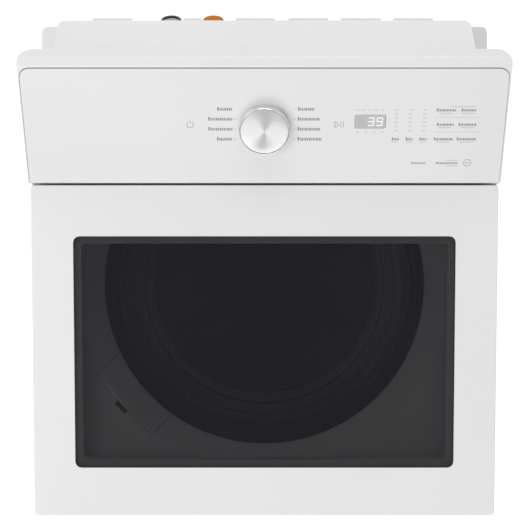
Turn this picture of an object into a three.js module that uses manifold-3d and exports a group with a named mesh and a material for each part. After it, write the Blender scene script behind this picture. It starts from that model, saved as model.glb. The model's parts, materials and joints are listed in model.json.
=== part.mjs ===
// Top load washing machine, in millimetres, +Z up, front towards -Y.
// The origin is on the floor, below the middle of the machine's outline.
import * as THREE from 'three';
import { mergeVertices } from 'three/addons/utils/BufferGeometryUtils.js';
import Module from 'manifold-3d';

const wasm = await Module();
wasm.setup();

// ---- driving dimensions ----
const HALF_WIDTH = 343;
const FRONT_Y = -346;
const BACK_Y = 356;
const REAR_LIMIT_Y = 367.5;
const SHEET = 1.2;
const CORNER_R = 14;
const WALL = 4;
const GAP = 0.4;
const REAR_FACE_Y = BACK_Y + GAP + SHEET;
const RIB_RISE = 1.5;
const CASE_BOTTOM_Z = 42;
const CASE_TOP_Z = 915;
const BASE_TOP_Z = 64;
const BASE_SHEET = 3;

const FOOT_X = 300;
const FOOT_Y = [-300, 315];
const STUD_R = 6;

const DECK_Z = 957;
const MOUTH_R = 245;
const FUNNEL_R = 278;
const SHELF_Y = 75;
const SHELF_Z = 1000;
const REAR_DECK_Z = 985;
const REAR_DECK_HALF = 331.6;
const CONSOLE_BACK_Y = 302.5;

const LID_FRONT_Y = -367.5;
const LID_FRONT_TOP_Z = 987;
const LID_SLOPE = THREE.MathUtils.degToRad(5.07);
const LID_DEPTH = 26;
const LID_HALF = 340.5;
const LID_SKIN = 5;
const HINGE_Y = 107;
const HINGE_BELOW_TOP = 8;
const HINGE_Z = lidTop(HINGE_Y) - HINGE_BELOW_TOP / Math.cos(LID_SLOPE);
const LID_FRONT_V = -475.6;
const LID_REAR_V = 13.2;
const LID_BOTTOM_W = HINGE_BELOW_TOP - LID_DEPTH;
const WINDOW_HALF = 279;
const WINDOW_V = [-403.4, -61.2];
const HINGE_PIN_R = 2.5;

const FACE_START = { y: 122.6, z: 1032.5 };
const FACE_SLOPE = THREE.MathUtils.degToRad(31.48);
const FACE_LENGTH = 179;
const FASCIA_T = 4.2;
const DIAL_V = 87.7;
const DIAL_R = 36.3;
const DIAL_HEIGHT = 14;
const DIAL_FACE_R = 33.8;
const DISPLAY = { x: [128, 171.6], v: [86.9, 107.2] };
const HUMP_HALF = 295;
const HUMP_BACK_Y = 354;

const TUB_Y = -23.5;
const TUB_R = 300;
const TUB_BOTTOM_Z = 220;
const TUB_TOP_Z = 880;
const NECK_R = 238;
const BASKET_R = 283;
const BASKET_BOTTOM_Z = 296;
const BASKET_TOP_Z = 846;
const RING_R = 230;
const IMPELLER_R = 215;
const SPIN_SHAFT_R = 17;
const WASH_SHAFT_R = 10.4;
const ROD_OFFSET = 244;
const ROD_R = 4;
const LUG_Z = 301;

const DRAWER_X = -213.5;
const DRAWER_Y = -208;
const DRAWER_TURN = Math.PI / 4;
const DRAWER_HALF = 61.2;
const DRAWER_REACH = 54;
const DRAWER_BOTTOM_Z = 918.5;
const DRAWER_TOP_Z = 952.5;

const INLET_X = { cold: -135, hot: -74 };
const INLET_TILT = THREE.MathUtils.degToRad(35);
const INLET_END = { y: 359.2, z: 1040 };
const CAP_R = 14.5;

const PUMP = { x: -130, y: 96.5, z: 92 };
const GLAND = { x: 250, z: 820 };
const LOCK = { x: 300, y: -218, z: 944 };

// ---- finishes ----
const FINISH = {
  enamel: [0xeceaea, 0.35, 0.1],
  white: [0xe9e7e8, 0.4, 0],
  dark: [0x2b2b2d, 0.5, 0],
  glass: [0x38383a, 0.08, 0],
  lens: [0xc4c4c5, 0.2, 0],
  steel: [0xb9bbbd, 0.3, 0.9],
  zinc: [0xa4a7aa, 0.45, 0.8],
  chrome: [0xd8dadc, 0.12, 1],
  rubber: [0x202022, 0.85, 0],
  grey: [0x8e9194, 0.55, 0],
  orange: [0xd07a0f, 0.45, 0],
  board: [0x2f6b3f, 0.6, 0],
  copper: [0xb4693c, 0.4, 0.8],
};

// Height of the lid's top surface at y
function lidTop(y) {
  return LID_FRONT_TOP_Z + (y - LID_FRONT_Y) * Math.tan(LID_SLOPE);
}

// Height of the rim that the lid rests on
function rimTop(y) {
  return lidTop(y) - LID_DEPTH / Math.cos(LID_SLOPE) - GAP;
}

// ---- geometry helpers ----
function signedVolume(corners, faces) {
  const [a, b, c] = [new THREE.Vector3(), new THREE.Vector3(), new THREE.Vector3()];
  let sum = 0;
  for (let i = 0; i < faces.length; i += 3) {
    a.fromArray(corners, faces[i] * 3);
    b.fromArray(corners, faces[i + 1] * 3);
    c.fromArray(corners, faces[i + 2] * 3);
    sum += a.dot(b.cross(c));
  }
  return sum / 6;
}

function solid(geometry) {
  const bare = geometry.clone();
  bare.deleteAttribute('normal');
  bare.deleteAttribute('uv');
  const merged = mergeVertices(bare, 1e-4);
  const corners = merged.getAttribute('position').array;
  const index = merged.getIndex().array;
  const faces = [];
  for (let i = 0; i < index.length; i += 3) {
    const [a, b, c] = index.slice(i, i + 3);
    if (a !== b && b !== c && c !== a) faces.push(a, b, c);
  }
  if (signedVolume(corners, faces) < 0) faces.reverse();
  const mesh = new wasm.Mesh({
    numProp: 3,
    vertProperties: new Float32Array(corners),
    triVerts: new Uint32Array(faces),
  });
  return new wasm.Manifold(mesh);
}

function geometryOf(body) {
  const mesh = body.getMesh();
  const geometry = new THREE.BufferGeometry();
  geometry.setAttribute('position', new THREE.BufferAttribute(mesh.vertProperties, 3));
  geometry.setIndex(new THREE.BufferAttribute(mesh.triVerts, 1));
  geometry.computeVertexNormals();
  return geometry;
}

function cut(base, ...tools) {
  return geometryOf(tools.reduce((body, tool) => body.subtract(solid(tool)), solid(base)));
}

function join(base, ...others) {
  return geometryOf(others.reduce((body, other) => body.add(solid(other)), solid(base)));
}

function common(base, other) {
  return geometryOf(solid(base).intersect(solid(other)));
}

// Points of a closed outline whose corners [x, y, radius] are rounded
function outline(corners, steps = 3) {
  const points = [];
  corners.forEach(([x, y, radius = 0], i) => {
    const corner = new THREE.Vector2(x, y);
    if (radius === 0) {
      points.push(corner);
      return;
    }
    const before = new THREE.Vector2(...corners.at(i - 1)).sub(corner).normalize();
    const after = new THREE.Vector2(...corners[(i + 1) % corners.length]).sub(corner).normalize();
    const half = Math.acos(before.dot(after)) / 2;
    const centre = before.clone().add(after).setLength(radius / Math.sin(half)).add(corner);
    const start = before.clone().multiplyScalar(radius / Math.tan(half)).add(corner).sub(centre);
    const end = after.clone().multiplyScalar(radius / Math.tan(half)).add(corner).sub(centre);
    const turn = Math.atan2(start.cross(end), start.dot(end));
    for (let k = 0; k <= steps; k += 1) {
      points.push(start.clone().rotateAround(new THREE.Vector2(), (turn * k) / steps).add(centre));
    }
  });
  return points;
}

function rectangle(x0, x1, y0, y1, frontRadius = 0, backRadius = frontRadius) {
  return outline([
    [x0, y0, frontRadius],
    [x1, y0, frontRadius],
    [x1, y1, backRadius],
    [x0, y1, backRadius],
  ]);
}

function prism(points, z0, z1, holes = []) {
  const shape = new THREE.Shape(points);
  shape.holes = holes.map((hole) => new THREE.Path(hole));
  const geometry = new THREE.ExtrudeGeometry(shape, { depth: z1 - z0, bevelEnabled: false });
  return geometry.translate(0, 0, z0);
}

// Prism from z0 to z1 whose end edges are rounded
function softPrism(points, z0, z1, edge) {
  const shape = new THREE.Shape(points);
  const geometry = new THREE.ExtrudeGeometry(shape, {
    depth: z1 - z0 - 2 * edge,
    bevelThickness: edge,
    bevelSize: edge,
    bevelOffset: -edge,
    bevelSegments: 2,
  });
  return geometry.translate(0, 0, z0 + edge);
}

// Outline given as [y, z] corners, drawn out along X
function alongX(corners, x0, x1) {
  const axes = new THREE.Matrix4().makeBasis(
    new THREE.Vector3(0, 1, 0),
    new THREE.Vector3(0, 0, 1),
    new THREE.Vector3(1, 0, 0),
  );
  return prism(outline(corners), x0, x1).applyMatrix4(axes);
}

function block(x0, x1, y0, y1, z0, z1) {
  const geometry = new THREE.BoxGeometry(x1 - x0, y1 - y0, z1 - z0);
  return geometry.translate((x0 + x1) / 2, (y0 + y1) / 2, (z0 + z1) / 2);
}

// Profile of [radius, height] points turned about Z
function turned(profile, segments = 40) {
  const points = profile.map(([radius, height]) => new THREE.Vector2(radius, height));
  return new THREE.LatheGeometry(points, segments).rotateX(Math.PI / 2);
}

// Ring whose section is a closed list of [radius, height] points
function ring(section, segments = 40) {
  return turned([...section, section[0]], segments);
}

function rod(radius, z0, z1, segments = 24) {
  const geometry = new THREE.CylinderGeometry(radius, radius, z1 - z0, segments);
  return geometry.rotateX(Math.PI / 2).translate(0, 0, (z0 + z1) / 2);
}

function circle(x, y, radius, segments = 16) {
  return new THREE.Path().absarc(x, y, radius, 0, 2 * Math.PI).getPoints(segments).slice(0, -1);
}

// Turns a shape made about Z so that its axis runs along Y
function faceBack(geometry) {
  return geometry.rotateX(-Math.PI / 2);
}

// ---- scene graph ----
const machine = new THREE.Group();

function add(parent, name, geometry, finish) {
  const [color, roughness, metalness] = FINISH[finish];
  const material = new THREE.MeshStandardMaterial({ color, roughness, metalness });
  const mesh = new THREE.Mesh(geometryOf(solid(geometry)), material);
  mesh.name = name;
  parent.add(mesh);
  return mesh;
}

function groupAt(x, y, z) {
  const group = new THREE.Group();
  group.position.set(x, y, z);
  machine.add(group);
  return group;
}

// ---- cabinet ----
function cabinetShell() {
  const inner = HALF_WIDTH - SHEET;
  const flange = HALF_WIDTH - 20;
  const wall = outline([
    [-HALF_WIDTH, BACK_Y],
    [-HALF_WIDTH, FRONT_Y, CORNER_R],
    [HALF_WIDTH, FRONT_Y, CORNER_R],
    [HALF_WIDTH, BACK_Y],
    [flange, BACK_Y],
    [flange, BACK_Y - SHEET],
    [inner, BACK_Y - SHEET],
    [inner, FRONT_Y + SHEET, CORNER_R - SHEET],
    [-inner, FRONT_Y + SHEET, CORNER_R - SHEET],
    [-inner, BACK_Y - SHEET],
    [-flange, BACK_Y - SHEET],
    [-flange, BACK_Y],
  ]);
  const gussets = [];
  for (const side of [-1, 1]) {
    gussets.push(cornerGusset(side, FRONT_Y + 1, 200));
    gussets.push(cornerGusset(side, BACK_Y - 1, -260));
  }
  return join(prism(wall, CASE_BOTTOM_Z, CASE_TOP_Z), ...gussets);
}

// Three-cornered plate that carries a suspension rod; leg is negative at the back
function cornerGusset(side, y, leg) {
  const x = side * (HALF_WIDTH - 1);
  const plate = [
    new THREE.Vector2(x, y),
    new THREE.Vector2(x - side * Math.abs(leg), y),
    new THREE.Vector2(x, y + leg),
  ];
  const rodY = TUB_Y + Math.sign(-leg) * ROD_OFFSET;
  return prism(plate, 903, 906, [circle(side * ROD_OFFSET, rodY, ROD_R + 1)]);
}

function rearPanel() {
  const plate = block(-341, 341, BACK_Y + GAP, REAR_FACE_Y, 44, 912);
  const ribs = [-180, 180].map(
    (x) => block(x - 22, x + 22, REAR_FACE_Y - 1, REAR_FACE_Y + RIB_RISE, 180, 740),
  );
  const outlet = faceBack(rod(14.6, -20, 20)).translate(PUMP.x, REAR_FACE_Y, PUMP.z);
  const gland = faceBack(rod(8.5, -20, 20)).translate(GLAND.x, REAR_FACE_Y, GLAND.z);
  return cut(join(plate, ...ribs), outlet, gland);
}

// Eight-sided opening in the base, made larger all round by grow
function baseOpening(grow) {
  const x = 280 + grow;
  const cornerX = 210 + grow / 2;
  const front = -285 - grow;
  const back = 295 + grow;
  return outline([
    [-x, front + 70], [-cornerX, front], [cornerX, front], [x, front + 70],
    [x, back - 70], [cornerX, back], [-cornerX, back], [-x, back - 70],
  ]);
}

function baseEdge(inset) {
  const half = HALF_WIDTH - SHEET - 0.5 - inset;
  const front = FRONT_Y + SHEET + 0.5 + inset;
  return rectangle(-half, half, front, BACK_Y - SHEET - 0.5 - inset, CORNER_R - SHEET - inset, 0);
}

// Pressed frame, open below, with a threaded boss for each foot
function baseFrame() {
  const frame = prism(baseEdge(0), CASE_BOTTOM_Z, BASE_TOP_Z, [baseOpening(0)]);
  const under = prism(
    baseEdge(BASE_SHEET), CASE_BOTTOM_Z - 1, BASE_TOP_Z - BASE_SHEET, [baseOpening(BASE_SHEET)]);
  const rail = block(PUMP.x - 30, PUMP.x + 30, -290, 300, BASE_TOP_Z - 4, BASE_TOP_Z);
  const bosses = [];
  const studs = [];
  for (const x of [-FOOT_X, FOOT_X]) {
    for (const y of FOOT_Y) {
      bosses.push(rod(STUD_R + 6, CASE_BOTTOM_Z, BASE_TOP_Z - 1).translate(x, y, 0));
      studs.push(rod(STUD_R + 0.5, CASE_BOTTOM_Z - 5, BASE_TOP_Z + 5, 12).translate(x, y, 0));
    }
  }
  return cut(join(cut(frame, under), rail, ...bosses), ...studs);
}

function levellingFoot() {
  const pad = [[0, 0], [23, 0], [26, 3], [26, 12], [12, 17], [12, 25]];
  return turned([...pad, [STUD_R, 25], [STUD_R, 82], [0, 82]], 12);
}

// ---- top cover: rim, deck, funnel and rear deck ----
function topCoverPlan(inset) {
  const half = HALF_WIDTH - inset;
  const rear = REAR_DECK_HALF - inset;
  const step = CONSOLE_BACK_Y - inset;
  const back = BACK_Y + 3 - inset;
  return outline([
    [-half, FRONT_Y + inset, CORNER_R], [half, FRONT_Y + inset, CORNER_R],
    [half, step], [rear, step], [rear, back, 8],
    [-rear, back, 8], [-rear, step], [-half, step],
  ]);
}

function topCoverShell() {
  const bottom = CASE_TOP_Z + GAP;
  const back = BACK_Y + 4;
  const side = [
    [FRONT_Y - 1, bottom], [back, bottom], [back, REAR_DECK_Z],
    [FACE_START.y - GAP, REAR_DECK_Z], [FACE_START.y - GAP, SHELF_Z],
    [93, SHELF_Z], [93, rimTop(93)], [FRONT_Y - 1, rimTop(FRONT_Y - 1)],
  ];
  const under = [
    [FRONT_Y, 900], [back, 900], [back, REAR_DECK_Z - WALL],
    [118.2, REAR_DECK_Z - WALL], [118.2, SHELF_Z - WALL],
    [SHELF_Y + WALL, SHELF_Z - WALL], [SHELF_Y + WALL, DECK_Z - WALL], [FRONT_Y, DECK_Z - WALL],
  ];
  const outer = common(alongX(side, -400, 400), prism(topCoverPlan(0), 900, 1010));
  const hollow = common(alongX(under, -400, 400), prism(topCoverPlan(WALL), 890, 1010));
  const recess = prism(rectangle(-321, 321, -324, SHELF_Y, 20, 4), DECK_Z, 1020);
  return cut(outer, hollow, recess);
}

function funnelWall() {
  const bottom = CASE_TOP_Z + GAP;
  const section = [
    [FUNNEL_R, DECK_Z], [MOUTH_R + 6, 931], [MOUTH_R, 924], [MOUTH_R, bottom],
    [MOUTH_R + WALL, bottom], [MOUTH_R + WALL, 922], [FUNNEL_R + WALL, DECK_Z - WALL],
    [FUNNEL_R + WALL, DECK_Z],
  ];
  const cone = ring(section, 64).translate(0, TUB_Y, 0);
  const frontPart = block(-400, 400, -400, SHELF_Y + WALL, 900, 1000);
  return common(cone, frontPart);
}

// Top cover before anything is cut from it for the drawer and the lock
function wholeTopCover() {
  const mouth = rod(FUNNEL_R, 900, 970, 64).translate(0, TUB_Y, 0);
  const frontPart = block(-400, 400, -400, SHELF_Y, 900, 1000);
  const shell = cut(topCoverShell(), common(mouth, frontPart));
  const chord = Math.sqrt((FUNNEL_R + WALL) ** 2 - (SHELF_Y + WALL - TUB_Y) ** 2);
  const backWall = block(-chord, chord, SHELF_Y, SHELF_Y + WALL, CASE_TOP_Z + GAP, DECK_Z);
  return join(shell, funnelWall(), backWall);
}

function topCover() {
  const lockSlot = block(LOCK.x - 7, LOCK.x + 7, LOCK.y - 18, LOCK.y + 18, 940, 970);
  return cut(wholeTopCover(), ...drawerCuts(), lockSlot);
}

function inDrawerPlace(geometry) {
  return geometry.rotateZ(DRAWER_TURN).translate(DRAWER_X, DRAWER_Y, 0);
}

// The drawer's way out through the funnel, its pocket and its finger notch
function drawerCuts() {
  const wayOut = block(-0.1, DRAWER_REACH, -DRAWER_HALF - 0.7, DRAWER_HALF + 0.7, 917, 980);
  const pocket = block(-104, 0, -64, 64, 914, DRAWER_TOP_Z + 0.5);
  const notch = block(-6, 0.1, -11, 11, 945, 980);
  return [wayOut, pocket, notch].map(inDrawerPlace);
}

function dispenserHousing() {
  const box = block(-100, -9.5, -60, 60, 914.5, DRAWER_TOP_Z);
  return cut(box, block(-97, 0, -57, 57, DRAWER_BOTTOM_Z, 1000));
}

// The piece of deck and funnel that slides out with the drawer, seen in the drawer's own frame
function drawerFace() {
  const cover = wholeTopCover().translate(-DRAWER_X, -DRAWER_Y, 0).rotateZ(-DRAWER_TURN);
  const reach = DRAWER_REACH - 0.7;
  return common(cover, block(0.6, reach, -DRAWER_HALF, DRAWER_HALF, DRAWER_BOTTOM_Z, 980));
}

function dispenserDrawer() {
  const front = block(-8, 0, -DRAWER_HALF, DRAWER_HALF, DRAWER_BOTTOM_Z, DRAWER_TOP_Z);
  const box = block(-92, -7, -56, 56, 920, 949);
  const cups = [block(-89, -14, -53, 8, 923, 960), block(-89, -14, 11, 53, 923, 960)];
  const riser = block(-1, 4, -DRAWER_HALF, DRAWER_HALF, 925, DRAWER_TOP_Z);
  const lip = block(0.6, 4, -DRAWER_HALF, DRAWER_HALF, 945, DECK_Z - 0.5);
  const grip = block(-7, 1, -10.5, 10.5, 932, 960);
  return cut(join(front, box, riser, lip, drawerFace()), ...cups, grip);
}

function siphonCap() {
  return turned([[0, 923.4], [15, 923.4], [15, 926], [9, 928], [8, 945], [0, 947]], 20);
}

// ---- console ----
function faceGroup() {
  const group = groupAt(0, FACE_START.y, FACE_START.z);
  group.rotation.x = FACE_SLOPE;
  return group;
}

function onFace(geometry) {
  return geometry.rotateX(FACE_SLOPE).translate(0, FACE_START.y, FACE_START.z);
}

function consoleHousing() {
  const bottom = REAR_DECK_Z + GAP;
  const top = {
    y: FACE_START.y + FACE_LENGTH * Math.cos(FACE_SLOPE),
    z: FACE_START.z + FACE_LENGTH * Math.sin(FACE_SLOPE),
  };
  const side = [
    [FACE_START.y, bottom], [CONSOLE_BACK_Y, bottom], [CONSOLE_BACK_Y, 1119, 3],
    [288, 1130, 6], [278, 1129, 4], [top.y, top.z], [FACE_START.y, FACE_START.z],
  ];
  const inside = [
    [FACE_START.y + WALL, 980], [CONSOLE_BACK_Y - WALL, 980], [CONSOLE_BACK_Y - WALL, 1113],
    [288, 1121.5], [281, 1120], [268, 1112.5], [FACE_START.y + WALL, 1025.5],
  ];
  const plan = rectangle(-HALF_WIDTH, HALF_WIDTH, FACE_START.y - 1, CONSOLE_BACK_Y, 0, 20);
  const innerPlan = rectangle(-339, 339, 110, CONSOLE_BACK_Y - WALL, 0, 17);
  const outer = common(alongX(side, -400, 400), prism(plan, 980, 1140));
  const hollow = common(alongX(inside, -400, 400), prism(innerPlan, 970, 1140));
  const pocket = prism(rectangle(-341, 341, -10, FACE_LENGTH - 0.4, 0, 14), -FASCIA_T - GAP, 20);
  const window = prism(rectangle(-334, 334, 8, FACE_LENGTH - 9, 4), -14, 1);
  return cut(outer, hollow, onFace(pocket), onFace(window));
}

function consoleFascia() {
  const panel = prism(rectangle(-340.4, 340.4, 0.3, FACE_LENGTH - 1.7, 2, 13.2), -FASCIA_T, 0);
  const shaftHole = rod(5.2, -10, 10).translate(0, DIAL_V, 0);
  const { x, v } = DISPLAY;
  const seat = prism(rectangle(x[0] - 0.4, x[1] + 0.4, v[0] - 0.4, v[1] + 0.4, 2.4), -2.4, 5);
  const behind = block(x[0] + 3, x[1] - 3, v[0] + 3, v[1] - 3, -10, 0);
  return cut(panel, shaftHole, seat, behind);
}

function displayWindow() {
  const { x, v } = DISPLAY;
  return prism(rectangle(x[0], x[1], v[0], v[1], 2), -2, 0);
}

function controlBoard() {
  const board = block(-70, 215, 45, 130, -20.6, -19);
  const digits = block(DISPLAY.x[0] + 6, DISPLAY.x[1] - 6, DISPLAY.v[0] + 4, DISPLAY.v[1] - 4, -20, -6);
  const encoder = block(-10, 10, DIAL_V - 10, DIAL_V + 10, -20, -9);
  const chips = [30, 62, 94].map((x) => block(x, x + 14, 60, 76, -20, -16));
  return cut(join(board, digits, encoder, ...chips), rod(5.2, -30, 0).translate(0, DIAL_V, 0));
}

function dialKnob() {
  const base = 0.5;
  const rim = DIAL_HEIGHT;
  return turned([
    [0, -15], [4.6, -15], [4.6, base], [DIAL_R, base], [DIAL_R, 3], [DIAL_R - 0.4, rim - 1.2],
    [DIAL_R - 1.2, rim], [DIAL_FACE_R + 0.8, rim], [DIAL_FACE_R + 0.4, rim - 1.4], [0, rim - 1.4],
  ], 32).translate(0, DIAL_V, 0);
}

function dialFace() {
  const floor = DIAL_HEIGHT - 1;
  return turned([[0, floor], [DIAL_FACE_R, floor], [DIAL_FACE_R, floor + 0.9], [0, floor + 1.2]])
    .translate(0, DIAL_V, 0);
}

function consoleRearCover() {
  const bottom = REAR_DECK_Z + GAP;
  const start = CONSOLE_BACK_Y + GAP;
  const side = [
    [start, bottom], [HUMP_BACK_Y, bottom], [HUMP_BACK_Y, 1060, 8], [start, 1110],
  ];
  const inside = [
    [start - 5, 980], [HUMP_BACK_Y - 3, 980], [HUMP_BACK_Y - 3, 1057, 6], [start - 5, 1110],
  ];
  const plan = rectangle(-HUMP_HALF, HUMP_HALF, start - 9, HUMP_BACK_Y, 0, 10);
  const innerPlan = rectangle(3 - HUMP_HALF, HUMP_HALF - 3, start - 9, HUMP_BACK_Y - 3, 0, 8);
  const outer = common(alongX(side, -400, 400), prism(plan, 980, 1140));
  const hollow = common(alongX(inside, -400, 400), prism(innerPlan, 970, 1140));
  const pads = [[-248, -191], [-117, -91], [-41, 15], [35, 92], [110, 168], [187, 243]].map(
    ([x0, x1]) => block(x0, x1, HUMP_BACK_Y - 1, HUMP_BACK_Y + 5.2, 1030, 1049),
  );
  const holes = Object.values(INLET_X).map((x) => inletPlace(rod(CAP_R + 1.5, -24, 20), x));
  return cut(join(cut(outer, hollow), ...pads), ...holes);
}

// Shapes made about Z, with their open end at zero, point back and up out of the rear cover
function inletPlace(geometry, x) {
  return geometry.rotateX(INLET_TILT - Math.PI / 2).translate(x, INLET_END.y, INLET_END.z);
}

function inletValve() {
  return turned([
    [0, -47], [18, -47], [18, -26], [12.4, -26], [12.4, -3], [9, -3], [9, -12], [0, -12],
  ], 16);
}

function inletCap(openR) {
  const cap = turned([
    [0, 0], [CAP_R, 0], [CAP_R, -14], [12.8, -14], [12.8, -2.5], [0, -2.5],
  ], 20);
  return openR > 0 ? cut(cap, rod(openR, -5, 5, 20)) : cap;
}

// ---- lid ----
function lidFrame() {
  const edge = rectangle(-LID_HALF, LID_HALF, LID_FRONT_V, LID_REAR_V, 7, 5);
  const body = softPrism(edge, LID_BOTTOM_W - 8, HINGE_BELOW_TOP, 2.4);
  const skinUnder = HINGE_BELOW_TOP - LID_SKIN;
  const below = block(-400, 400, -500, 40, LID_BOTTOM_W - 20, LID_BOTTOM_W);
  const rearUnder = alongX([[-2, LID_BOTTOM_W], [LID_REAR_V, -6], [40, -6], [40, -50], [-2, -50]], -400, 400);
  const hollow = alongX([
    [LID_FRONT_V + WALL, -50], [-9, -50], [-9, LID_BOTTOM_W + 0.5],
    [LID_REAR_V - WALL, -4], [LID_REAR_V - WALL, skinUnder], [LID_FRONT_V + WALL, skinUnder],
  ], WALL - LID_HALF, LID_HALF - WALL);
  const window = prism(rectangle(-WINDOW_HALF, WINDOW_HALF, ...WINDOW_V, 9), -50, 50);
  const hingeRoom = [-311, 311].map((x) => block(x - 15, x + 15, -16, 9.2, -50, 5.6));
  const bracketRoom = [-315.5, 315.5].map((x) => block(x - 4, x + 4, -16, 20, -50, 5.6));
  return cut(body, below, rearUnder, hollow, window, ...hingeRoom, ...bracketRoom);
}

function lidGlass() {
  const half = WINDOW_HALF - GAP;
  const [front, rear] = WINDOW_V;
  return prism(rectangle(-half, half, front + GAP, rear - GAP, 8.6), 2, 7.4);
}

function lidInnerFrame() {
  const bottom = LID_BOTTOM_W + GAP;
  const front = -448;
  const rear = -10.2;
  const [glassFront, glassRear] = WINDOW_V;
  const ledge = 11;
  const openHalf = WINDOW_HALF - ledge;
  const body = prism(rectangle(-335.8, 335.8, front, rear, 6, 2), bottom, 2.6);
  const opening = prism(
    rectangle(-openHalf, openHalf, glassFront + ledge, glassRear - ledge, 6), -50, 50);
  const innerWall = rectangle(
    -openHalf - WALL, openHalf + WALL, glassFront + ledge - WALL, glassRear - ledge + WALL, 8);
  const channel = prism(
    rectangle(-331.8, 331.8, front + WALL, rear - WALL, 4, 2), bottom + 3.5, 10, [innerWall]);
  const ledgeTop = prism(rectangle(-285, 285, glassFront - 6, glassRear + 6, 10), 1.6, 10);
  const hingeRoom = [-311, 311].map((x) => block(x - 17, x + 17, -34, 0, -50, 50));
  return cut(body, opening, channel, ledgeTop, ...hingeRoom);
}

// Arm screwed under the lid's skin, bored for the hinge pin
function hingeArm(side) {
  const x = side > 0 ? 303 : -309.5;
  const arm = alongX([[-30, -1], [-2, -5.2], [5, -5.2, 3], [5, 2.6], [-30, 2.6]], x, x + 6.5);
  const bore = rod(HINGE_PIN_R + 0.3, -10, 10).rotateY(Math.PI / 2).translate(x + 3, 0, 0);
  return cut(arm, bore);
}

function lidStrike() {
  const reach = LOCK.y - HINGE_Y;
  const y = reach / Math.cos(LID_SLOPE) - 3.4;
  const hook = block(LOCK.x - 4, LOCK.x + 4, y - 10, y + 10, -57, LID_BOTTOM_W + 0.1);
  const eye = block(LOCK.x - 10, LOCK.x + 10, y - 7.5, y + 7.5, -54, -42);
  return cut(hook, eye);
}

function hingePin(side) {
  const profile = [[0, 300], [HINGE_PIN_R, 300], [HINGE_PIN_R, 319.5], [4, 319.5], [4, 322], [0, 322]];
  return turned(profile, 16).rotateY((side * Math.PI) / 2).translate(0, HINGE_Y, HINGE_Z);
}

function hingeBracket(side) {
  const x = side > 0 ? 313 : -317.5;
  const foot = SHELF_Z + 0.3;
  const ear = alongX([
    [97, foot], [HINGE_Y + 1.5, foot], [HINGE_Y + 1.5, HINGE_Z - 5],
    [HINGE_Y + 5, HINGE_Z - 3, 2], [HINGE_Y + 5, HINGE_Z + 5, 3.5],
    [HINGE_Y - 5, HINGE_Z + 5, 3.5], [97, foot + 8],
  ], x, x + 4.5);
  const base = block(x - 9, x + 13.5, 96, 118, foot, foot + 2);
  const bore = rod(HINGE_PIN_R + 0.3, -10, 10).rotateY(Math.PI / 2).translate(x + 2, HINGE_Y, HINGE_Z);
  return cut(join(ear, base), bore);
}

function lidLockHousing() {
  const { x, y, z } = LOCK;
  const box = block(x - 15, x + 34, y - 28, y + 28, 922, 952.5);
  const pocket = block(x - 7, x + 7, y - 18, y + 18, 929, 960);
  const channel = block(x + 5, x + 40, y - 6, y + 6, z - 4, z + 4);
  return cut(box, pocket, channel);
}

function lidLockBolt() {
  const { x, y, z } = LOCK;
  return block(x + 8, x + 33, y - 5.4, y + 5.4, z - 3.3, z + 3.3);
}

// ---- tub and suspension ----
function outerTub() {
  const section = [
    [TUB_R - WALL, TUB_TOP_Z], [TUB_R - WALL, TUB_BOTTOM_Z + 18], [TUB_R - 20, TUB_BOTTOM_Z + 6],
    [42.6, TUB_BOTTOM_Z + 6], [42.6, TUB_BOTTOM_Z], [TUB_R - 18, TUB_BOTTOM_Z],
    [TUB_R, TUB_BOTTOM_Z + 15], [TUB_R, TUB_TOP_Z - 9], [TUB_R + 4, TUB_TOP_Z - 7],
    [TUB_R + 4, TUB_TOP_Z],
  ];
  const lugs = [];
  const holes = [];
  for (let i = 0; i < 4; i += 1) {
    const turn = Math.PI / 4 + (i * Math.PI) / 2;
    lugs.push(block(TUB_R - 2, 362, -16, 16, LUG_Z, LUG_Z + 10).rotateZ(turn));
    holes.push(rod(ROD_R + 2, LUG_Z - 5, LUG_Z + 20, 12).translate(ROD_OFFSET * Math.SQRT2, 0, 0)
      .rotateZ(turn));
  }
  const drain = { x: PUMP.x, y: PUMP.y - TUB_Y };
  const spigot = rod(19, TUB_BOTTOM_Z - 15, TUB_BOTTOM_Z + 2).translate(drain.x, drain.y, 0);
  const drainBore = rod(15, TUB_BOTTOM_Z - 20, TUB_BOTTOM_Z + 10).translate(drain.x, drain.y, 0);
  return cut(join(ring(section), ...lugs, spigot), ...holes, drainBore);
}

function tubCover() {
  const bottom = TUB_TOP_Z + GAP;
  return ring([
    [TUB_R - 10, bottom], [TUB_R + 4, bottom], [TUB_R + 4, 891], [TUB_R - 8, 900],
    [NECK_R + 3, 900], [NECK_R, 896], [NECK_R, 885], [NECK_R + 4, 885], [NECK_R + 5, 894],
    [TUB_R - 12, 894],
  ]);
}

function bearingHousing() {
  return ring([
    [34.4, 225], [34.4, 206], [22, 206], [22, 188], [30.4, 188], [30.4, 170], [42, 170],
    [42, 198], [110, 206], [110, TUB_BOTTOM_Z - GAP], [42.2, TUB_BOTTOM_Z - GAP], [42.2, 225],
  ], 24);
}

function bearing(outerR, z0, z1) {
  const innerR = SPIN_SHAFT_R + 0.4;
  return ring([[innerR, z0], [outerR, z0], [outerR, z1], [innerR, z1]], 24);
}

function stator() {
  const points = [];
  const teeth = 12;
  for (let i = 0; i < teeth; i += 1) {
    const middle = (i / teeth) * 2 * Math.PI;
    for (const [radius, offset] of [[75, -0.13], [112, -0.15], [112, 0.15], [75, 0.13]]) {
      const angle = middle + offset;
      points.push(new THREE.Vector2(radius * Math.cos(angle), radius * Math.sin(angle)));
    }
  }
  return prism(points, 172, 192, [circle(0, 0, 43, 20)]);
}

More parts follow.
